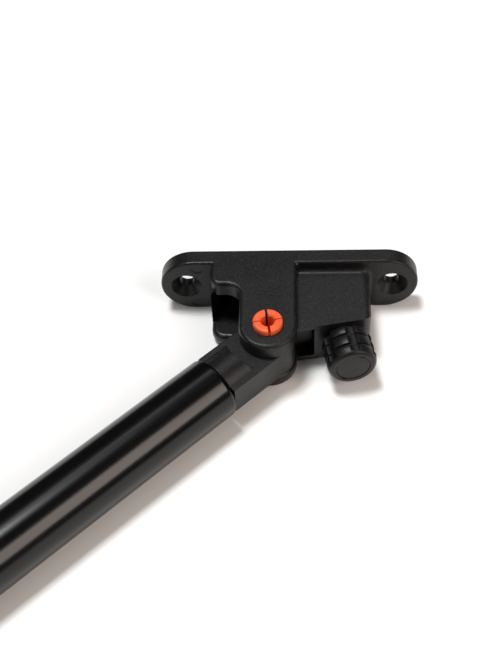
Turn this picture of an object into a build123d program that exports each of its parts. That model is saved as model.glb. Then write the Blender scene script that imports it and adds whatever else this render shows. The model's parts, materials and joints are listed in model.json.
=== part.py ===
from build123d import *
import math
import os

# Gas strut stay with a friction lock: a gas spring between two screwed-on brackets.
# Millimetres. The origin is the centre of the lock bracket's mounting face: X along the bracket,
# +Y out of its mounting face, Z along the pivot pins. At rest the strut is fully extended.

# Brackets
PLATE_LENGTH = 80.0
PLATE_HEIGHT = 21.0
PLATE_THICK = 5.3
HOLE_SPACING = 64.0
HOLE_D = 4.7
SINK_D = 9.8
EAR_THICK = 5.2
LOWER_EAR_THICK = 3.3
EAR_R = 8.5
PIN_HEIGHT = 29.6
PIN_OFFSET = -6.3
SLOT_BACK = 9.0
PLATE_EDGE_R = 0.7
PLATE_REAR_R = 0.5
NECK_R = 4.2
WALL_FOOT = -3.3
WEB_FOOT = -4.3
LEFT_SHOULDER = -23.9
UPPER_FRONT = -13.7
UPPER_CORNER_R = 3.2
UPPER_EDGE_R = 1.2
LOWER_FRONT = -21.6
LOWER_CORNER_R = 4.2
LOWER_EDGE_R = 1.4
LOWER_RIM_R = 0.6
RIB_DEPTH = -14.6
RIB_FOOT = -18.4
MARKS = ((-28.3, 8.0, 2.0), (-29.0, -7.4, 1.8))
MARK_DEPTH = 0.15
FRAME_SHOULDER = 17.0
FRAME_FRONT = -13.0
FRAME_WEB_HALF = 7.5
FRAME_WEB_FRONT = -16.5
FRAME_GUSSET = 16.2

# Pivot pins
PIN_R = 4.0
PIN_BORE_R = 4.05
PIN_HEAD_R = 5.6
PIN_HEAD_THICK = 1.2
PIN_LIP_R = 4.4
PIN_LIP_RISE = 2.0
PIN_HOLLOW_R = 1.95
PIN_HOLLOW_DEPTH = 8.0
PIN_SLOTS = ((8, 0.4), (98, 0.75))
PIN_SLOT_DEPTH = 7.0
PIN_PLAY = 0.05

# Tongue fittings
TONGUE_WIDTH = 15.8
TONGUE_THICK = 10.2
TONGUE_LENGTH = 20.5
CROWN_R = 7.8
CROWN_START = 13.0
CROWN_ROOT_R = 0.6
BUSH_R = 5.2
STUD_R = 3.95
STUD_DEPTH = 10.0
TONGUE_EDGE_R = 0.3

# Gas spring
STRUT_ANGLE = 223.66
TUBE_R = 9.5
TUBE_WALL = 1.5
TUBE_GAP = 0.5
TUBE_EDGE_R = 1.3
TUBE_LENGTH = 180.0
TUBE_BEAD = 16.0
TUBE_BEAD_WIDTH = 1.8
TUBE_BEAD_DEPTH = 0.55
ROD_R = 4.0
STROKE = 130.0
ROD_MARGIN = 4.0
TUBE_END_HOLE_R = 6.2
TUBE_ROD_HOLE_R = 5.2
BEAD_EDGE_R = 0.35
PLUG_LENGTH = 7.0
GROOVE_FLOOR_R = 6.2
SEAL_MIDDLE = 3.65
SEAL_GROOVE = 2.1
SEAL_RING_R = 7.1
SEAL_CORD_R = 0.85
GUIDE_LENGTH = 8.0
SEAL_LENGTH = 5.0
RING_LENGTH = 1.8
PISTON_R = 7.7
PISTON_LENGTH = 8.0
PISTON_GROOVE = 2.2
PISTON_RING_R = 7.95
PISTON_RING_WIDTH = 1.8
THROTTLE_R = 0.5
THROTTLE_PLACE = 4.7
ROD_NECK_R = 3.0
WASHER_R = 6.4
WASHER_THICK = 1.4
ROD_NUT_THICK = 3.2
NUT_APOTHEM = 5.0

# Friction lock, in the frame of the housing's slanted front face
FACE_ANGLE = 10.52
FACE_X = 2.2
FACE_Y = -28.4
HOUSING_RIGHT = 24.5
HOUSING_TOP = 6.6
HOUSING_CORNER_R = 3.2
HOUSING_EDGE_R = 2.2
HOUSING_ROOT_R = 1.4
SCREW_T = 14.45
SCREW_R = 3.0
CAVITY_HALF = 5.3
SLIDER_HALF = 5.2
CAVITY_FRONT = 3.4
CAVITY_BACK = 18.2
CAVITY_LEFT = -5.6
CAVITY_RIGHT = 20.4
NUT_SIZE = 10.3
NUT_THICK = 4.8
SHOE_GAP = 0.45
LINING_THICK = 1.2
WEDGE_SLOPE = 0.5
WEDGE_FRONT = 10.6
WEDGE_LEFT = 10.5
WEDGE_DEPTH = 7.0
SHOE_BACK = 17.8
SHOE_FRONT = 4.0
COVER_FRONT = -3.0
COVER_BACK = -0.3

# Knob
KNOB_GAP = 1.2
KNOB_COLLAR_END = 2.0
KNOB_GROOVES = (4.75, 8.5)
KNOB_GROOVE_WIDTH = 0.55
KNOB_RIM = 10.9
KNOB_END = 12.3
KNOB_COLLAR_R = 5.9
KNOB_WAIST_R = 6.45
KNOB_R = 7.45
KNOB_FACE_R = 6.2
KNOB_CAP_R = 5.0
KNOB_CAP_THICK = 1.0
KNOB_FLUTES = 6
KNOB_FLUTE_R = 1.9
KNOB_FLUTE_DEPTH = 1.0
KNOB_FLUTE_PHASE = 84.3
SCREW_HEAD_LOW = 7.0
SCREW_HEAD_THICK = 4.0
NOTCH_ANGLES = (62, 238)
NOTCH_SIZE = (0.8, 1.6, 1.0)

# Values worked out from the driving dimensions
HALF_HEIGHT = PLATE_HEIGHT / 2
SLOT_HALF = HALF_HEIGHT - EAR_THICK
UNDERSIDE = -SLOT_HALF - LOWER_EAR_THICK
TUBE_START = TONGUE_LENGTH + TUBE_GAP
TUBE_END = TUBE_START + TUBE_LENGTH
ROD_FITTING = TUBE_END + ROD_MARGIN + STROKE
EYE_TO_EYE = ROD_FITTING + TONGUE_LENGTH
BORE_R = TUBE_R - TUBE_WALL
SEAL_FIT_R = BORE_R - 0.05
GUIDE_END = TUBE_END - TUBE_WALL - 0.02
SEAL_END = GUIDE_END - GUIDE_LENGTH - 0.05
RING_END = SEAL_END - SEAL_LENGTH - 0.05
PISTON_END = RING_END - RING_LENGTH - 0.5

PIN_PLACE = Pos(PIN_OFFSET, -PIN_HEIGHT, 0)
STRUT_PLACE = PIN_PLACE * Rot(0, 0, STRUT_ANGLE)
FAR_PIN_PLACE = STRUT_PLACE * Pos(EYE_TO_EYE, 0, 0)
FAR_TONGUE_PLACE = FAR_PIN_PLACE * Rot(0, 0, 180)
FAR_BRACKET_PLACE = FAR_PIN_PLACE * Rot(0, 0, 180 - STRUT_ANGLE) * Pos(0, PIN_HEIGHT, 0)
HOUSING_PLACE = Pos(FACE_X, FACE_Y, 0) * Rot(0, 0, FACE_ANGLE)
KNOB_PLACE = HOUSING_PLACE * Pos(SCREW_T, 0, 0) * Rot(90, 0, 0)


def upright(sketch, bottom, top):
    """Extrude a plan outline from one height to another."""
    return Pos(0, 0, bottom) * extrude(sketch, top - bottom)


def box_between(low, high):
    """A box given by its lowest and highest corners."""
    size = [high[i] - low[i] for i in range(3)]
    centre = [(high[i] + low[i]) / 2 for i in range(3)]
    return Pos(*centre) * Box(*size)


def rod_along_x(radius, start, end):
    """A cylinder about the X axis."""
    return Pos((start + end) / 2, 0, 0) * Rot(0, 90, 0) * Cylinder(radius, end - start)


def ring_along_x(outer, inner, start, end):
    """A tube about the X axis."""
    return rod_along_x(outer, start, end) - rod_along_x(inner, start - 1, end + 1)


def fillet_where(solid, keep, radius):
    """Round the edges that a test picks."""
    return fillet([edge for edge in solid.edges() if keep(edge)], radius)


# ---------------------------------------------------------------- brackets

def base_plate():
    """Obround plate with two countersunk screw holes, front face towards -Y."""
    outline = SlotOverall(PLATE_LENGTH, PLATE_HEIGHT)
    plate = Rot(90, 0, 0) * extrude(outline, PLATE_THICK)
    plate = fillet_where(plate, lambda e: e.center().Y < -PLATE_THICK + 0.01, PLATE_EDGE_R)
    plate = fillet_where(plate, lambda e: e.center().Y > -0.01, PLATE_REAR_R)
    sink_depth = (SINK_D - HOLE_D) / 2
    for side in (-1, 1):
        place = Pos(side * HOLE_SPACING / 2, 0, 0) * Rot(90, 0, 0)
        plate -= place * Cylinder(HOLE_D / 2, 4 * PLATE_THICK)
        cone = Cone(HOLE_D / 2, SINK_D / 2, sink_depth)
        plate -= place * Pos(0, 0, PLATE_THICK - sink_depth / 2) * cone
    return plate


def wall_outline(left, front, pin_x, corner_r):
    """Plan of one wall: a shoulder on the left, a concave neck and a round ear."""
    ear_left = pin_x - EAR_R
    ear_right = pin_x + EAR_R
    neck = ear_left - NECK_R
    with BuildLine() as line:
        Polyline(
            (ear_right, WALL_FOOT),
            (left, WALL_FOOT),
            (left, front + corner_r),
        )
        RadiusArc((left, front + corner_r), (left + corner_r, front), -corner_r)
        Line((left + corner_r, front), (neck, front))
        RadiusArc((neck, front), (ear_left, front - NECK_R), NECK_R)
        Line((ear_left, front - NECK_R), (ear_left, -PIN_HEIGHT))
        RadiusArc((ear_left, -PIN_HEIGHT), (ear_right, -PIN_HEIGHT), -EAR_R)
        Line((ear_right, -PIN_HEIGHT), (ear_right, WALL_FOOT))
    return make_face(line.line)


def pin_bore(pin_x):
    """Bore through both ears."""
    return Pos(pin_x, -PIN_HEIGHT, 0) * Cylinder(PIN_BORE_R, 2 * PLATE_HEIGHT)


def lock_housing():
    """Outer block of the lock housing: a plan with a slanted front, rounded along its right side."""
    slope = math.tan(math.radians(FACE_ANGLE))
    left = FACE_X - 1
    front_right = FACE_Y + slope * (HOUSING_RIGHT - FACE_X)
    plan = make_face(Polyline(
        (left, FACE_Y - slope),
        (HOUSING_RIGHT, front_right),
        (HOUSING_RIGHT, WALL_FOOT),
        (left, WALL_FOOT),
        close=True,
    ))
    corner = plan.vertices().sort_by(Axis.X)[-2:].sort_by(Axis.Y)[0]
    plan = fillet(corner, HOUSING_CORNER_R)
    block = upright(plan, UNDERSIDE, HOUSING_TOP)
    height = HOUSING_TOP - UNDERSIDE
    length = 2 * (HOUSING_RIGHT - left)
    section = Pos(left, (HOUSING_TOP + UNDERSIDE) / 2) * RectangleRounded(length, height, HOUSING_EDGE_R)
    sleeve = Rot(90, 0, 0) * extrude(section, 60)
    return block & sleeve


def lock_cavities():
    """Everything that is hollow for the lock: pocket, shoe channel, screw hole, rear window."""
    local = box_between((-0.2, -4, -6.75), (5.3, CAVITY_FRONT + 1, CAVITY_HALF))
    local += box_between(
        (CAVITY_LEFT, CAVITY_FRONT, -CAVITY_HALF),
        (CAVITY_RIGHT, CAVITY_BACK, CAVITY_HALF),
    )
    local += Pos(SCREW_T, 0, 0) * Rot(90, 0, 0) * Cylinder(SCREW_R + 0.2, 20)
    window = box_between((4.5, -12, -CAVITY_HALF), (21.5, 1, CAVITY_HALF))
    return HOUSING_PLACE * local + window


def lock_bracket():
    """Bracket with the two ears and the lock housing in one moulding."""
    ear_left = PIN_OFFSET - EAR_R
    slot_back = -PIN_HEIGHT + SLOT_BACK
    inner_top = SLOT_HALF + 1
    upper_plan = wall_outline(LEFT_SHOULDER, UPPER_FRONT, PIN_OFFSET, UPPER_CORNER_R)
    upper = upright(upper_plan, SLOT_HALF, HALF_HEIGHT)
    upper = fillet_where(upper, lambda e: e.center().Z > HALF_HEIGHT - 0.01, UPPER_EDGE_R)
    lower_plan = wall_outline(LEFT_SHOULDER, LOWER_FRONT, PIN_OFFSET, LOWER_CORNER_R)
    lower = upright(lower_plan, UNDERSIDE, -SLOT_HALF)
    lower = fillet_where(lower, lambda e: e.center().Z > -SLOT_HALF - 0.01, LOWER_EDGE_R)
    lower = fillet_where(lower, lambda e: e.center().Z < UNDERSIDE + 0.01, LOWER_RIM_R)
    web = box_between((ear_left + 1.5, slot_back, -inner_top), (FACE_X, WEB_FOOT, inner_top))
    rib = make_face(Polyline(
        (LEFT_SHOULDER, RIB_DEPTH),
        (LEFT_SHOULDER, WEB_FOOT),
        (RIB_FOOT, WEB_FOOT),
        close=True,
    ))
    body = base_plate() + upper + lower + web + lock_housing()
    body += upright(rib, -inner_top, inner_top)
    body -= box_between((ear_left, -60, -SLOT_HALF), (FACE_X, slot_back, SLOT_HALF))
    body = fillet_where(body, is_housing_root, HOUSING_ROOT_R)
    body -= lock_cavities()
    body -= pin_bore(PIN_OFFSET)
    return body - ejector_marks()


def is_housing_root(edge):
    """Edges where the housing meets the plate's front face."""
    centre = edge.center()
    at_face = abs(centre.Y + PLATE_THICK) < 0.01
    within = abs(centre.Z) < HALF_HEIGHT - 1.5
    return at_face and within and FACE_X < centre.X < HOUSING_RIGHT + 0.1


def ejector_marks():
    """Two shallow round marks on the plate beside the left hole."""
    marks = Part()
    for x, z, radius in MARKS:
        marks += Pos(x, -PLATE_THICK, z) * Rot(90, 0, 0) * Cylinder(radius, 2 * MARK_DEPTH)
    return marks


def frame_bracket():
    """Plain bracket for the rod end: the same plate, two plain ears and a web with two gussets."""
    inner_top = SLOT_HALF + 1
    outline = wall_outline(-FRAME_SHOULDER, FRAME_FRONT, 0, UPPER_CORNER_R)
    outline += mirror(outline, about=Plane.YZ)
    upper = upright(outline, SLOT_HALF, HALF_HEIGHT)
    upper = fillet_where(upper, lambda e: e.center().Z > HALF_HEIGHT - 0.01, 1.0)
    lower = upright(outline, UNDERSIDE, -SLOT_HALF)
    lower = fillet_where(lower, lambda e: e.center().Z < UNDERSIDE + 0.01, LOWER_RIM_R)
    web = make_face(Polyline(
        (-FRAME_GUSSET, WEB_FOOT),
        (-FRAME_WEB_HALF, FRAME_FRONT),
        (-FRAME_WEB_HALF, FRAME_WEB_FRONT),
        (FRAME_WEB_HALF, FRAME_WEB_FRONT),
        (FRAME_WEB_HALF, FRAME_FRONT),
        (FRAME_GUSSET, WEB_FOOT),
        close=True,
    ))
    body = base_plate() + upper + lower
    body += upright(web, -inner_top, inner_top)
    return body - pin_bore(0)


def pivot_pin():
    """Split snap pin: head below, four sprung fingers with lips above, centred on its axis."""
    head_top = UNDERSIDE - PIN_PLAY
    lip_low = HALF_HEIGHT + PIN_PLAY
    lip_high = lip_low + PIN_LIP_RISE
    pin = Pos(0, 0, (head_top + lip_low) / 2) * Cylinder(PIN_R, lip_low - head_top)
    head = Pos(0, 0, head_top - PIN_HEAD_THICK / 2) * Cylinder(PIN_HEAD_R, PIN_HEAD_THICK)
    pin += chamfer(head.edges().sort_by(Axis.Z)[0], 0.4)
    lip = Pos(0, 0, (lip_low + lip_high) / 2) * Cylinder(PIN_LIP_R, PIN_LIP_RISE)
    pin += fillet(lip.edges().sort_by(Axis.Z)[-1], 0.7)
    pin -= Pos(0, 0, lip_high) * Cylinder(PIN_HOLLOW_R, 2 * PIN_HOLLOW_DEPTH)
    pin -= Pos(0, 0, lip_high - 0.25) * Cone(PIN_HOLLOW_R, PIN_HOLLOW_R + 0.5, 0.52)
    for turn, width in PIN_SLOTS:
        pin -= Rot(0, 0, turn) * Pos(0, 0, lip_high) * Box(3 * PIN_R, width, 2 * PIN_SLOT_DEPTH)
    return pin


# ---------------------------------------------------------------- friction lock

def tongue_arc(radius, low, high):
    """Points of a circle about the pivot pin, in the housing frame, between two depths."""
    pin = HOUSING_PLACE.inverse() * PIN_PLACE
    centre = pin.position
    ends = []
    for depth in (low, (low + high) / 2, high):
        reach = math.sqrt(radius ** 2 - (depth - centre.Y) ** 2)
        ends.append((centre.X + reach, depth))
    return ThreePointArc(*ends)


def brake_shoe():
    """Slider that is pushed against the tongue's round end, with a slanted rear flank."""
    radius = TONGUE_WIDTH / 2 + SHOE_GAP + LINING_THICK + 0.02
    arc = tongue_arc(radius, SHOE_FRONT, 7.9)
    flank = WEDGE_LEFT - 0.2
    outline = Curve() + [
        arc,
        Polyline(
            arc @ 1,
            (-5.0, 9.6),
            (-5.0, SHOE_BACK),
            (flank + WEDGE_SLOPE * (SHOE_BACK - WEDGE_FRONT), SHOE_BACK),
            (flank, WEDGE_FRONT),
            (8.9, WEDGE_FRONT),
            (8.9, SHOE_FRONT),
            arc @ 0,
        ),
    ]
    return HOUSING_PLACE * upright(make_face(outline), -SLIDER_HALF, SLIDER_HALF)


def shoe_lining():
    """Friction lining bonded to the shoe's hollow nose."""
    inner = TONGUE_WIDTH / 2 + SHOE_GAP
    face = tongue_arc(inner, 4.05, 7.3)
    back = tongue_arc(inner + LINING_THICK, 4.05, 7.85)
    outline = Curve() + [face, Line(face @ 1, back @ 1), back, Line(back @ 0, face @ 0)]
    return HOUSING_PLACE * upright(make_face(outline), -SLIDER_HALF + 0.3, SLIDER_HALF - 0.3)


def lock_wedge():
    """Wedge that the screw drives rearwards and that moves the shoe sideways."""
    right = CAVITY_RIGHT - 0.1
    back = WEDGE_FRONT + WEDGE_DEPTH
    outline = Polyline(
        (WEDGE_LEFT, WEDGE_FRONT),
        (right, WEDGE_FRONT),
        (right, back - 0.6),
        (right - 0.6, back),
        (WEDGE_LEFT + WEDGE_SLOPE * WEDGE_DEPTH, back),
        close=True,
    )
    return HOUSING_PLACE * upright(make_face(outline), -SLIDER_HALF, SLIDER_HALF)


def lock_nut():
    """Square nut held by the walls of the housing."""
    middle = CAVITY_FRONT + 0.05 + NUT_THICK / 2
    nut = Pos(SCREW_T, middle, 0) * Box(NUT_SIZE, NUT_THICK, NUT_SIZE)
    nut = fillet(nut.edges().filter_by(Axis.Y), 0.6)
    nut -= Pos(SCREW_T, middle, 0) * Rot(90, 0, 0) * Cylinder(SCREW_R + 0.05, 2 * NUT_THICK)
    return HOUSING_PLACE * nut


def back_cover():
    """Cover that closes the lock from behind, just below the mounting face."""
    half = CAVITY_HALF - 0.05
    cover = box_between((4.6, COVER_FRONT, -half), (21.4, COVER_BACK, half))
    return fillet(cover.edges().filter_by(Axis.Y), 0.5)


# ---------------------------------------------------------------- knob

def knob_profile():
    """Half section of the grip: a collar, three bulged rows between grooves, a rounded shoulder."""
    starts = [KNOB_COLLAR_END] + [g + KNOB_GROOVE_WIDTH / 2 for g in KNOB_GROOVES]
    ends = [g - KNOB_GROOVE_WIDTH / 2 for g in KNOB_GROOVES] + [KNOB_RIM]
    edge_r = KNOB_R - 0.2
    with BuildLine() as line:
        Polyline((0, KNOB_GAP), (KNOB_COLLAR_R, KNOB_GAP), (KNOB_COLLAR_R, starts[0]), (edge_r, starts[0]))
        for low, high in zip(starts, ends):
            ThreePointArc((edge_r, low), (KNOB_R, (low + high) / 2), (edge_r, high))
            if high < KNOB_RIM:
                after = high + KNOB_GROOVE_WIDTH
                Polyline((edge_r, high), (KNOB_WAIST_R, high), (KNOB_WAIST_R, after), (edge_r, after))
        RadiusArc((edge_r, KNOB_RIM), (KNOB_FACE_R, KNOB_END), -(KNOB_END - KNOB_RIM) * 1.05)
        Polyline((KNOB_FACE_R, KNOB_END), (0, KNOB_END), (0, KNOB_GAP))
    return make_face(line.line)


def lock_knob():
    """Fluted grip that is hollow for the screw's head and the cap."""
    knob = revolve(Plane.XZ * knob_profile(), Axis.Z)
    flute_end = KNOB_RIM + 0.3
    centre_r = KNOB_R - KNOB_FLUTE_DEPTH + KNOB_FLUTE_R
    for i in range(KNOB_FLUTES):
        flute = Pos(centre_r, 0, flute_end / 2) * Cylinder(KNOB_FLUTE_R, flute_end)
        knob -= Rot(0, 0, KNOB_FLUTE_PHASE + 360 * i / KNOB_FLUTES) * flute
    for angle in NOTCH_ANGLES:
        knob -= Rot(0, 0, angle) * Pos(KNOB_CAP_R, 0, KNOB_END) * Box(*NOTCH_SIZE)
    pocket_floor = KNOB_END - 0.1 - KNOB_CAP_THICK - 0.02
    knob -= Pos(0, 0, pocket_floor + 1) * Cylinder(KNOB_CAP_R + 0.1, 2)
    knob -= Pos(0, 0, SCREW_HEAD_LOW) * extrude(RegularPolygon(5.0, 6, major_radius=False), 4.2)
    knob -= Cylinder(SCREW_R + 0.02, 40)
    return KNOB_PLACE * knob


def knob_cap():
    """Flat disc that covers the screw's head."""
    top = KNOB_END - 0.1
    cap = Pos(0, 0, top - KNOB_CAP_THICK / 2) * Cylinder(KNOB_CAP_R, KNOB_CAP_THICK)
    cap = fillet(cap.edges().sort_by(Axis.Z)[-1], 0.15)
    return KNOB_PLACE * cap


def lock_screw():
    """Hexagon-head screw; its tip stops just short of the wedge."""
    hexagon = RegularPolygon(4.95, 6, major_radius=False)
    head = Pos(0, 0, SCREW_HEAD_LOW + 0.02) * extrude(hexagon, SCREW_HEAD_THICK)
    tip = -(WEDGE_FRONT - 0.1)
    top = SCREW_HEAD_LOW + 1
    shank = Pos(0, 0, (tip + top) / 2) * Cylinder(SCREW_R, top - tip)
    shank = chamfer(shank.edges().sort_by(Axis.Z)[0], 0.5)
    return KNOB_PLACE * (head + shank)


# ---------------------------------------------------------------- strut, along +X from its pin

def tongue_fitting():
    """Flat tongue with a round end, and a round crown where it meets the tube or rod."""
    half = TONGUE_WIDTH / 2
    slab = box_between((0, -half, -TONGUE_THICK / 2), (TONGUE_LENGTH, half, TONGUE_THICK / 2))
    slab += Cylinder(half, TONGUE_THICK)
    crown = rod_along_x(CROWN_R, CROWN_START / 2, TONGUE_LENGTH)
    for side in (-1, 1):
        middle = side * (TONGUE_THICK / 2 + 5)
        cutter = Pos(0, 0, middle) * Cylinder(CROWN_START, 10)
        inner_rim = cutter.edges().filter_by(GeomType.CIRCLE).sort_by(lambda e: abs(e.center().Z))[0]
        crown -= fillet(inner_rim, CROWN_ROOT_R)
    body = slab + crown
    return fillet_where(body, is_slab_edge, TONGUE_EDGE_R)


def is_slab_edge(edge):
    """The long straight edges of the flat tongue."""
    centre = edge.center()
    on_face = abs(abs(centre.Z) - TONGUE_THICK / 2) < 0.01
    return on_face and abs(abs(centre.Y) - TONGUE_WIDTH / 2) < 0.01 and edge.length > 10


def drilled_tongue():
    """Tongue with its bush bore and the blind hole for a stud."""
    body = tongue_fitting()
    body -= Cylinder(BUSH_R, 2 * TONGUE_THICK)
    body -= rod_along_x(STUD_R + 0.03, TONGUE_LENGTH - STUD_DEPTH - 0.2, TONGUE_LENGTH + 1)
    return body


def tongue_bush():
    """Plain bearing bush around the pin."""
    bush = Cylinder(BUSH_R - 0.01, TONGUE_THICK)
    return bush - Cylinder(PIN_BORE_R, 2 * TONGUE_THICK)


def pressure_tube():
    """Cylinder of the gas spring, with both ends rolled inwards."""
    tube = rod_along_x(TUBE_R, TUBE_START, TUBE_END)
    tube = fillet_where(tube, lambda e: e.length > 50, TUBE_EDGE_R)
    tube -= rod_along_x(BORE_R, TUBE_START + TUBE_WALL, TUBE_END - TUBE_WALL)
    tube -= rod_along_x(TUBE_END_HOLE_R, TUBE_START - 1, TUBE_START + 3)
    tube -= rod_along_x(TUBE_ROD_HOLE_R, TUBE_END - 3, TUBE_END + 1)
    bead_floor = TUBE_R - TUBE_BEAD_DEPTH
    bead_start = TUBE_END - TUBE_BEAD
    tube -= ring_along_x(TUBE_R + 1, bead_floor, bead_start, bead_start + TUBE_BEAD_WIDTH)
    rim = 2 * math.pi * (TUBE_R - 0.1)
    tube = fillet_where(tube, lambda e: e.length > rim and in_bead(e.center().X), BEAD_EDGE_R)
    return tube


def in_bead(x):
    """Whether a place along the tube lies at its rolled bead."""
    middle = TUBE_END - TUBE_BEAD + TUBE_BEAD_WIDTH / 2
    return abs(x - middle) < TUBE_BEAD_WIDTH


def end_plug():
    """Plug in the closed end, with the stud that screws into the tongue."""
    face = TUBE_START + TUBE_WALL
    plug = rod_along_x(SEAL_FIT_R, face + 0.02, face + PLUG_LENGTH)
    plug += rod_along_x(TUBE_END_HOLE_R - 0.05, TUBE_START + 0.3, face + 1)
    plug += rod_along_x(STUD_R, TONGUE_LENGTH - STUD_DEPTH, face)
    groove = face + SEAL_MIDDLE - SEAL_GROOVE / 2
    plug -= ring_along_x(BORE_R + 1, GROOVE_FLOOR_R, groove, groove + SEAL_GROOVE)
    return plug


def plug_seal():
    """O-ring in the plug's groove."""
    middle = TUBE_START + TUBE_WALL + SEAL_MIDDLE
    return Pos(middle, 0, 0) * Rot(0, 90, 0) * Torus(SEAL_RING_R, SEAL_CORD_R)


def rod_guide():
    """Bearing of the piston rod."""
    return ring_along_x(SEAL_FIT_R, ROD_R + 0.05, GUIDE_END - GUIDE_LENGTH, GUIDE_END)


def rod_seal():
    """Lip seal around the piston rod, hollowed on its pressure side."""
    seal = ring_along_x(SEAL_FIT_R, ROD_R + 0.03, SEAL_END - SEAL_LENGTH, SEAL_END)
    return seal - ring_along_x(6.9, 5.2, SEAL_END - SEAL_LENGTH - 1, SEAL_END - SEAL_LENGTH + 2)


def seal_ring():
    """Support ring below the seal."""
    return ring_along_x(SEAL_FIT_R, ROD_R + 0.3, RING_END - RING_LENGTH, RING_END)


def piston_rod():
    """Rod with a reduced neck for the piston and a threaded outer end."""
    neck_end = PISTON_END - PISTON_LENGTH - WASHER_THICK - ROD_NUT_THICK - 1.0
    rod = rod_along_x(ROD_R, PISTON_END, ROD_FITTING)
    rod += rod_along_x(ROD_NECK_R, neck_end, PISTON_END)
    rod += rod_along_x(STUD_R, ROD_FITTING - 0.5, ROD_FITTING + STUD_DEPTH)
    return rod


def piston():
    """Piston with a ring groove and three throttle holes."""
    start = PISTON_END - PISTON_LENGTH
    groove = PISTON_END - (PISTON_LENGTH + PISTON_GROOVE) / 2
    body = ring_along_x(PISTON_R, ROD_NECK_R + 0.01, start, PISTON_END)
    body -= ring_along_x(BORE_R + 1, GROOVE_FLOOR_R, groove, groove + PISTON_GROOVE)
    throttle = Pos(0, THROTTLE_PLACE, 0) * rod_along_x(THROTTLE_R, start - 1, PISTON_END + 1)
    for i in range(3):
        body -= Rot(120 * i, 0, 0) * throttle
    return body


def piston_ring():
    """Sealing ring in the piston's groove, split by a gap."""
    middle = PISTON_END - PISTON_LENGTH / 2
    half = PISTON_RING_WIDTH / 2
    ring = ring_along_x(PISTON_RING_R, GROOVE_FLOOR_R + 0.05, middle - half, middle + half)
    return ring - box_between((middle - 3, 5, -0.4), (middle + 3, 9, 0.4))


def piston_washer():
    """Washer behind the piston."""
    end = PISTON_END - PISTON_LENGTH - 0.01
    return ring_along_x(WASHER_R, ROD_NECK_R + 0.01, end - WASHER_THICK, end)


def rod_nut():
    """Nut that holds the piston on the rod."""
    end = PISTON_END - PISTON_LENGTH - WASHER_THICK - 0.02
    nut = Rot(0, -90, 0) * extrude(RegularPolygon(NUT_APOTHEM, 6, major_radius=False), ROD_NUT_THICK)
    nut = Pos(end, 0, 0) * nut
    return nut - rod_along_x(ROD_NECK_R + 0.01, end - 10, end + 1)


# ---------------------------------------------------------------- the assembly

PARTS = {
    "lock_bracket_body": lock_bracket(),
    "pivot_pin": PIN_PLACE * pivot_pin(),
    "lock_nut": lock_nut(),
    "back_cover": back_cover(),
    "lock_wedge": lock_wedge(),
    "brake_shoe": brake_shoe(),
    "shoe_lining": shoe_lining(),
    "lock_knob": lock_knob(),
    "knob_cap": knob_cap(),
    "lock_screw": lock_screw(),
    "tube_tongue": STRUT_PLACE * drilled_tongue(),
    "tube_tongue_bush": STRUT_PLACE * tongue_bush(),
    "pressure_tube": STRUT_PLACE * pressure_tube(),
    "end_plug": STRUT_PLACE * end_plug(),
    "end_plug_seal": STRUT_PLACE * plug_seal(),
    "rod_guide": STRUT_PLACE * rod_guide(),
    "rod_seal": STRUT_PLACE * rod_seal(),
    "seal_support_ring": STRUT_PLACE * seal_ring(),
    "piston_rod": STRUT_PLACE * piston_rod(),
    "piston": STRUT_PLACE * piston(),
    "piston_ring": STRUT_PLACE * piston_ring(),
    "piston_washer": STRUT_PLACE * piston_washer(),
    "rod_nut": STRUT_PLACE * rod_nut(),
    "rod_tongue": FAR_TONGUE_PLACE * drilled_tongue(),
    "rod_tongue_bush": FAR_TONGUE_PLACE * tongue_bush(),
    "frame_bracket_body": FAR_BRACKET_PLACE * frame_bracket(),
    "frame_pivot_pin": FAR_PIN_PLACE * pivot_pin(),
}

os.makedirs("parts", exist_ok=True)
for node, shape in PARTS.items():
    export_step(shape, f"parts/{node}.step")
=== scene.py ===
import json
import math

import bpy
from mathutils import Matrix, Vector

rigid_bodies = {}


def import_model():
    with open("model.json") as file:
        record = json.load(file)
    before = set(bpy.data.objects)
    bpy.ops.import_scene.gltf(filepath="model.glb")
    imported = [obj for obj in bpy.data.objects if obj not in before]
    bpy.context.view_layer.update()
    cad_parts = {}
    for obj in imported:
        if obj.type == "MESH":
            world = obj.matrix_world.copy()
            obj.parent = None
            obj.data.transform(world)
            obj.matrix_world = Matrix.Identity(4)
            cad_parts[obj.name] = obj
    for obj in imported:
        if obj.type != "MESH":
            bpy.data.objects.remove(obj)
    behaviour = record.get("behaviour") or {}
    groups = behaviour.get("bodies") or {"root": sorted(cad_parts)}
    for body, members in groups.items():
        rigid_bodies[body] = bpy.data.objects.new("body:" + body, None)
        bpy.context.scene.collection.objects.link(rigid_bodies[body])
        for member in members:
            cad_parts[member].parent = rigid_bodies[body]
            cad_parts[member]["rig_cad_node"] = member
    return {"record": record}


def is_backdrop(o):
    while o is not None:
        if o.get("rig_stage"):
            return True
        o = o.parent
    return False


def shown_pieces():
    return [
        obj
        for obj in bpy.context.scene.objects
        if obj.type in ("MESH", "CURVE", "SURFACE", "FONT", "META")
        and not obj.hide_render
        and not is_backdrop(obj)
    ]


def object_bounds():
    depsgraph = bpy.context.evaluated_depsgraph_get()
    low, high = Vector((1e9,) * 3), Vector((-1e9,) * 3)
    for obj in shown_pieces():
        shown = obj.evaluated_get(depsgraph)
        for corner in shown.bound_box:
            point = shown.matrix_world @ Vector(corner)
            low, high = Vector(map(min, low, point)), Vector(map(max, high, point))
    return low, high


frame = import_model()
CAD_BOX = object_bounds()
SCENE = bpy.context.scene
SCENE.view_settings.view_transform = "Standard"
JOINTS = {joint["name"]: joint for joint in frame["record"]["behaviour"]["joints"]}
STRUT_AXIS = Vector(JOINTS["rod_slide"]["axis"])
STRUT_YAW = math.atan2(STRUT_AXIS.y, STRUT_AXIS.x)
FLOOR_HEIGHT = CAD_BOX[0].z
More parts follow.
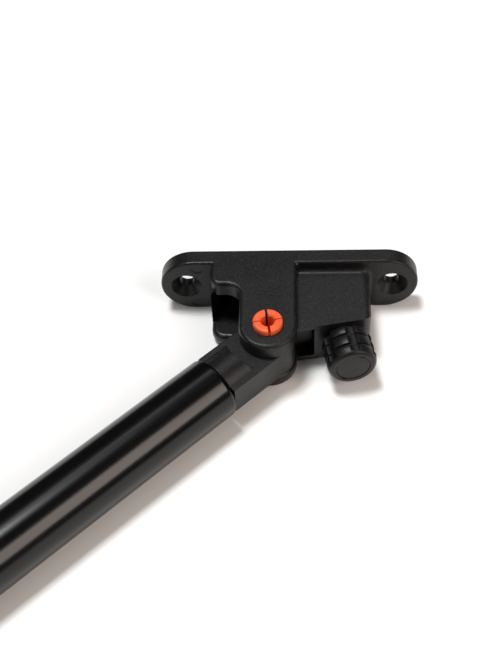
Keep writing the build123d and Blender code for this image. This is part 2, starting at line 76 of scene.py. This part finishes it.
FLOOR_HALF = 12.0
MM = 0.001

CAMERA_PLACE = (0, -0.2254, 0.2504)
CAMERA_DEGREES = (-3.307, 51.268, -3.092)  # yaw, pitch below the horizon, roll
CAMERA_LENS = 57.35
CAMERA_SENSOR = 36
CAMERA_CLIP = (0.01, 50)

# The place on the lock bracket that the lights face, and the directions from it to each of them
LIT_PLACE = Vector((-0.03, -0.05, 0))
LAMP_WAY = (-0.20, 0.13, 1.0)
SOFTBOX_WAY = (0.685, -0.428, 0.635)
STRIP_WAY = (0.052, 0.575, 0.816)
FILL_WAY = (-0.60, -0.65, 0.90)
SURROUND_COLOUR = (1.0, 0.97, 0.94, 1)
SURROUND_STRENGTH = 0.03

# Where most of a noise texture's values lie, from its troughs to its crests
NOISE_SPAN = (0.3, 0.7)


# ---------------------------------------------------------------- camera, floor and light

def add_camera():
    """Looks down at the lock bracket from close by, a little from its left, with a slight roll."""
    yaw, pitch, roll = (math.radians(degrees) for degrees in CAMERA_DEGREES)
    forward = Vector((math.sin(yaw) * math.cos(pitch), math.cos(yaw) * math.cos(pitch), -math.sin(pitch)))
    level = forward.cross(Vector((0, 0, 1))).normalized()
    lift = level.cross(forward)
    right = math.cos(roll) * level + math.sin(roll) * lift
    up = math.cos(roll) * lift - math.sin(roll) * level
    data = bpy.data.cameras.new("camera")
    data.lens = CAMERA_LENS
    data.sensor_width = CAMERA_SENSOR
    data.clip_start, data.clip_end = CAMERA_CLIP
    camera = bpy.data.objects.new("camera", data)
    turn = Matrix((right, up, -forward)).transposed().to_4x4()
    camera.matrix_world = Matrix.Translation(CAMERA_PLACE) @ turn
    SCENE.collection.objects.link(camera)
    SCENE.camera = camera


def add_floor():
    """A wide pale floor at the height of the brackets' lower edges."""
    mesh = bpy.data.meshes.new("floor")
    signs = ((-1, -1), (1, -1), (1, 1), (-1, 1))
    corners = [(x * FLOOR_HALF, y * FLOOR_HALF, FLOOR_HEIGHT) for x, y in signs]
    mesh.from_pydata(corners, [], [(0, 1, 2, 3)])
    floor = bpy.data.objects.new("floor", mesh)
    SCENE.collection.objects.link(floor)
    floor.data.materials.append(floor_material())
    floor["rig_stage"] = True


def add_area_light(name, way, distance, size, radiance, colour, along=(0, 0, 1)):
    """A soft rectangular light that the camera doesn't see; its second side runs near along."""
    away = Vector(way).normalized()
    second = Vector(along)
    second = (second - second.dot(away) * away).normalized()
    first = second.cross(away)
    data = bpy.data.lights.new(name, "AREA")
    data.shape = "RECTANGLE"
    data.size, data.size_y = size
    data.energy = radiance * math.pi * size[0] * size[1]
    data.color = colour
    light = bpy.data.objects.new(name, data)
    turn = Matrix((first, second, away)).transposed().to_4x4()
    light.matrix_world = Matrix.Translation(LIT_PLACE + distance * away) @ turn
    light.visible_camera = False
    SCENE.collection.objects.link(light)


def add_lights():
    """A lamp almost overhead, a warm softbox at the front right, a dim strip behind, a weak fill."""
    add_area_light("lamp", LAMP_WAY, 6.0, (1.28, 1.28), 56, (0.98, 0.99, 1.0))
    add_area_light("fill", FILL_WAY, 3.6, (1.8, 1.8), 2.0, (1.0, 0.99, 0.97))
    add_area_light("softbox", SOFTBOX_WAY, 2.5, (1.4, 1.4), 5.4, (1.0, 0.87, 0.79))
    add_area_light("strip", STRIP_WAY, 2.75, (0.44, 3.5), 1.5, (0.97, 0.98, 1.0), STRUT_AXIS)
    world = bpy.data.worlds.new("surround")
    world.use_nodes = True
    background = world.node_tree.nodes["Background"]
    background.inputs["Color"].default_value = SURROUND_COLOUR
    background.inputs["Strength"].default_value = SURROUND_STRENGTH
    SCENE.world = world


# ---------------------------------------------------------------- node helpers

class Nodes:
    """One material's node tree, with a short way to add and link nodes."""

    def __init__(self, name):
        self.material = bpy.data.materials.new(name)
        self.material.use_nodes = True
        self.tree = self.material.node_tree
        self.shader = self.tree.nodes["Principled BSDF"]

    def add(self, kind, links=None, values=None, **settings):
        node = self.tree.nodes.new(kind)
        for key, value in settings.items():
            setattr(node, key, value)
        for key, value in (values or {}).items():
            node.inputs[key].default_value = value
        for key, source in (links or {}).items():
            self.tree.links.new(source, node.inputs[key])
        return node

    def set(self, **values):
        """Plain values on the shader's own sockets, named with _ for each space."""
        for key, value in values.items():
            self.shader.inputs[key.replace("_", " ")].default_value = value

    def feed(self, key, source):
        self.tree.links.new(source, self.shader.inputs[key])

    def place(self, yaw=0.0, scale=(1, 1, 1)):
        """The piece's own coordinates, turned so that X runs along yaw, then stretched."""
        own = self.add("ShaderNodeTexCoord").outputs["Object"]
        turned = self.add("ShaderNodeVectorRotate", {"Vector": own}, {"Angle": -yaw}, rotation_type="Z_AXIS")
        return self.add(
            "ShaderNodeVectorMath",
            {0: turned.outputs[0]},
            {1: scale},
            operation="MULTIPLY",
        ).outputs[0]

    def noise(self, vector, scale, detail=2.0, rough=0.5):
        values = {"Scale": scale, "Detail": detail, "Roughness": rough}
        return self.add("ShaderNodeTexNoise", {"Vector": vector}, values).outputs["Fac"]

    def ramp(self, factor, low, high, start=0.0, end=1.0):
        """A factor stretched from start..end to low..high."""
        values = {"From Min": start, "From Max": end, "To Min": low, "To Max": high}
        return self.add("ShaderNodeMapRange", {"Value": factor}, values).outputs["Result"]

    def mix(self, factor, first, second):
        """A mix by a factor of two colours, each a plain one or another node's output."""
        node = self.add("ShaderNodeMix", {0: factor}, data_type="RGBA")
        for socket, colour in ((6, first), (7, second)):
            if isinstance(colour, tuple):
                node.inputs[socket].default_value = (*colour, 1)
            else:
                self.tree.links.new(colour, node.inputs[socket])
        return node.outputs[2]

    def bump(self, height, distance, strength=1.0, below=None):
        links = {"Height": height}
        if below is not None:
            links["Normal"] = below
        values = {"Distance": distance, "Strength": strength}
        return self.add("ShaderNodeBump", links, values).outputs["Normal"]

    def soft_edges(self, radius):
        """The surface normal rounded over the edges."""
        return self.add("ShaderNodeBevel", values={"Radius": radius}, samples=6).outputs["Normal"]

    def edge_mask(self, radius):
        """0 on flat stretches and towards 1 along the edges."""
        rounded = self.soft_edges(radius)
        own = self.add("ShaderNodeNewGeometry").outputs["Normal"]
        dot = self.add("ShaderNodeVectorMath", {0: rounded, 1: own}, operation="DOT_PRODUCT").outputs["Value"]
        return self.ramp(dot, 1.0, 0.0, 0.75, 0.98)


# ---------------------------------------------------------------- materials

def floor_material():
    nodes = Nodes("floor")
    mottle = nodes.noise(nodes.place(), 6.0)
    nodes.feed("Base Color", nodes.mix(mottle, (0.93, 0.925, 0.915), (0.945, 0.94, 0.93)))
    nodes.set(Roughness=0.9, Specular_IOR_Level=0.1)
    return nodes.material


def moulded_plastic(name, dark, light, pale_wear_and_glint, rough, grain, specular=0.28):
    """Moulded black plastic: mottled colour, pebbled grain with pale worn specks, flow marks, and paler edges
    that are partly wear and partly a painted highlight.
    """
    nodes = Nodes(name)
    own = nodes.place()
    cloud = nodes.noise(own, 55.0, 3.0, 0.55)
    pebble = nodes.noise(own, 1700.0, 2.0, 0.6)
    speck = nodes.noise(own, 3100.0, 1.0, 0.5)
    flow = nodes.noise(nodes.place(scale=(18, 90, 60)), 1.0, 2.0, 0.6)
    tone = nodes.mix(nodes.ramp(cloud, 0, 1, *NOISE_SPAN), dark, light)
    tone = nodes.mix(nodes.ramp(pebble, 0, 0.4, 0.52, 0.72), tone, pale_wear_and_glint)
    tone = nodes.mix(nodes.ramp(speck, 0, 0.8, 0.60, 0.76), tone, pale_wear_and_glint)
    # Paler edges: partly wear, partly a painted highlight along the rounded edges
    edges = nodes.edge_mask(0.35 * MM)
    broken = nodes.ramp(pebble, 0.1, 0.9, 0.35, 0.65)
    edge_wear_and_glint = nodes.add("ShaderNodeMath", {0: edges, 1: broken}, operation="MULTIPLY").outputs[0]
    tone = nodes.mix(edge_wear_and_glint, tone, pale_wear_and_glint)
    nodes.feed("Base Color", tone)
    patch = nodes.ramp(flow, rough - 0.06, rough + 0.08, *NOISE_SPAN)
    nodes.feed("Roughness", patch)
    nodes.set(Specular_IOR_Level=specular)
    soft = nodes.soft_edges(0.3 * MM)
    lumps = nodes.bump(cloud, 0.25 * MM, 0.5, soft)
    grainy = nodes.bump(pebble, grain * MM, 0.8, lumps)
    nodes.feed("Normal", nodes.bump(speck, 0.4 * grain * MM, 0.7, grainy))
    return nodes.material


def orange_plastic():
    """Glossy orange acetal with a little light under its skin."""
    nodes = Nodes("orange_plastic")
    own = nodes.place()
    cloud = nodes.noise(own, 260.0, 3.0, 0.6)
    fine = nodes.noise(own, 2600.0, 2.0, 0.5)
    tone = nodes.mix(nodes.ramp(cloud, 0, 1, *NOISE_SPAN), (0.80, 0.095, 0.022), (0.86, 0.125, 0.035))
    # Brighter orange along the edges: a painted highlight
    tone = nodes.mix(nodes.edge_mask(0.25 * MM), tone, (0.93, 0.20, 0.075))
    nodes.feed("Base Color", tone)
    nodes.feed("Roughness", nodes.ramp(fine, 0.34, 0.46, *NOISE_SPAN))
    nodes.set(
        Specular_IOR_Level=0.45,
        Subsurface_Weight=0.12,
        Subsurface_Scale=0.6 * MM,
        Subsurface_Radius=(1.0, 0.25, 0.08),
    )
    waves = nodes.bump(cloud, 0.12 * MM, 0.5, nodes.soft_edges(0.2 * MM))
    nodes.feed("Normal", nodes.bump(fine, 0.012 * MM, 0.6, waves))
    return nodes.material


def black_paint():
    """Satin black paint on the drawn tube, with orange peel, faint draw lines and dust."""
    nodes = Nodes("black_paint")
    own = nodes.place()
    along = nodes.place(STRUT_YAW, (8, 700, 700))
    lines = nodes.noise(along, 1.0, 2.0, 0.5)
    peel = nodes.noise(own, 420.0, 2.0, 0.5)
    dust = nodes.noise(own, 2600.0, 1.0, 0.5)
    tone = nodes.mix(nodes.ramp(peel, 0, 1, *NOISE_SPAN), (0.0010, 0.0010, 0.0012), (0.0020, 0.0020, 0.0022))
    tone = nodes.mix(nodes.ramp(dust, 0, 0.3, 0.68, 0.8), tone, (0.04, 0.039, 0.036))
    nodes.feed("Base Color", tone)
    nodes.feed("Roughness", nodes.ramp(lines, 0.17, 0.24, *NOISE_SPAN))
    nodes.set(Specular_IOR_Level=0.38)
    wavy = nodes.bump(peel, 0.008 * MM, 0.5, nodes.soft_edges(0.3 * MM))
    nodes.feed("Normal", nodes.bump(lines, 0.002 * MM, 0.4, wavy))
    return nodes.material


def turned_metal(name, colour, rough, yaw, scale=(2600, 60, 60), blemish=None):
    """Bright metal with fine rings about the axis that it was turned or ground on."""
    nodes = Nodes(name)
    rings = nodes.noise(nodes.place(yaw, scale), 1.0, 3.0, 0.6)
    cloud = nodes.noise(nodes.place(), 130.0, 3.0, 0.6)
    darker = tuple(channel * 0.8 for channel in colour)
    tone = nodes.mix(nodes.ramp(rings, 0, 1, *NOISE_SPAN), darker, colour)
    if blemish is not None:
        tone = nodes.mix(nodes.ramp(cloud, 0, 0.6, 0.52, 0.75), tone, blemish)
    nodes.feed("Base Color", tone)
    nodes.feed("Roughness", nodes.ramp(cloud, rough * 0.8, rough * 1.25, *NOISE_SPAN))
    nodes.set(Metallic=1.0)
    nodes.feed("Normal", nodes.bump(rings, 0.006 * MM, 0.5, nodes.soft_edges(0.2 * MM)))
    return nodes.material


def inner_plastic():
    """Smooth black acetal of the sliding parts inside."""
    nodes = Nodes("inner_plastic")
    own = nodes.place()
    cloud = nodes.noise(own, 90.0, 3.0, 0.6)
    fine = nodes.noise(own, 1800.0, 2.0, 0.5)
    tone = nodes.mix(nodes.ramp(cloud, 0, 1, *NOISE_SPAN), (0.004, 0.004, 0.004), (0.008, 0.008, 0.008))
    nodes.feed("Base Color", tone)
    nodes.feed("Roughness", nodes.ramp(fine, 0.38, 0.5, *NOISE_SPAN))
    nodes.set(Subsurface_Weight=0.08, Subsurface_Scale=0.8 * MM)
    nodes.feed("Normal", nodes.bump(fine, 0.02 * MM, 0.5, nodes.soft_edges(0.2 * MM)))
    return nodes.material


def rubber(name, colour, grain):
    """Matt black rubber."""
    nodes = Nodes(name)
    own = nodes.place()
    fine = nodes.noise(own, 2200.0, 3.0, 0.65)
    cloud = nodes.noise(own, 200.0, 2.0, 0.5)
    paler = tuple(channel * 1.8 for channel in colour)
    nodes.feed("Base Color", nodes.mix(nodes.ramp(cloud, 0, 1, *NOISE_SPAN), colour, paler))
    nodes.feed("Roughness", nodes.ramp(fine, 0.66, 0.82, *NOISE_SPAN))
    nodes.set(Specular_IOR_Level=0.3, Sheen_Weight=0.08)
    nodes.feed("Normal", nodes.bump(fine, grain * MM, 0.7, nodes.soft_edges(0.15 * MM)))
    return nodes.material


def make_materials():
    """One material for each of the record's slots."""
    return {
        "black_nylon": moulded_plastic(
            "black_nylon",
            dark=(0.0026, 0.0026, 0.0029),
            light=(0.008, 0.008, 0.0083),
            pale_wear_and_glint=(0.036, 0.0354, 0.034),
            rough=0.36,
            grain=0.07,
        ),
        "knob_plastic": moulded_plastic(
            "knob_plastic",
            dark=(0.0022, 0.0022, 0.0026),
            light=(0.0045, 0.0045, 0.0049),
            pale_wear_and_glint=(0.020, 0.020, 0.0196),
            rough=0.36,
            grain=0.03,
        ),
        "orange_plastic": orange_plastic(),
        "black_paint": black_paint(),
        "chromed_rod": turned_metal("chromed_rod", (0.58, 0.58, 0.60), 0.10, STRUT_YAW),
        "zinc_steel": turned_metal(
            "zinc_steel", (0.60, 0.60, 0.61), 0.32, 0.0, (900, 900, 900), (0.42, 0.43, 0.42)
        ),
        "brass": turned_metal(
            "brass", (0.72, 0.52, 0.22), 0.26, STRUT_YAW, (900, 900, 2600), (0.5, 0.36, 0.16)
        ),
        "alloy": turned_metal("alloy", (0.66, 0.67, 0.68), 0.28, STRUT_YAW),
        "inner_plastic": inner_plastic(),
        "friction_rubber": rubber("friction_rubber", (0.005, 0.005, 0.005), 0.05),
        "seal_rubber": rubber("seal_rubber", (0.012, 0.012, 0.012), 0.02),
    }


def dress_nodes(materials):
    """Give every CAD node the material of its slot."""
    slot_of = {part["node"]: part["material_slot"] for part in frame["record"]["subparts"]}
    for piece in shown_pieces():
        node = piece.get("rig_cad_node")
        if node is None:
            continue
        if not piece.material_slots:
            piece.data.materials.append(None)
        for material_slot in piece.material_slots:
            material_slot.link = "OBJECT"
            material_slot.material = materials[slot_of[node]]


# ---------------------------------------------------------------- the scene

add_camera()
add_floor()
add_lights()
dress_nodes(make_materials())
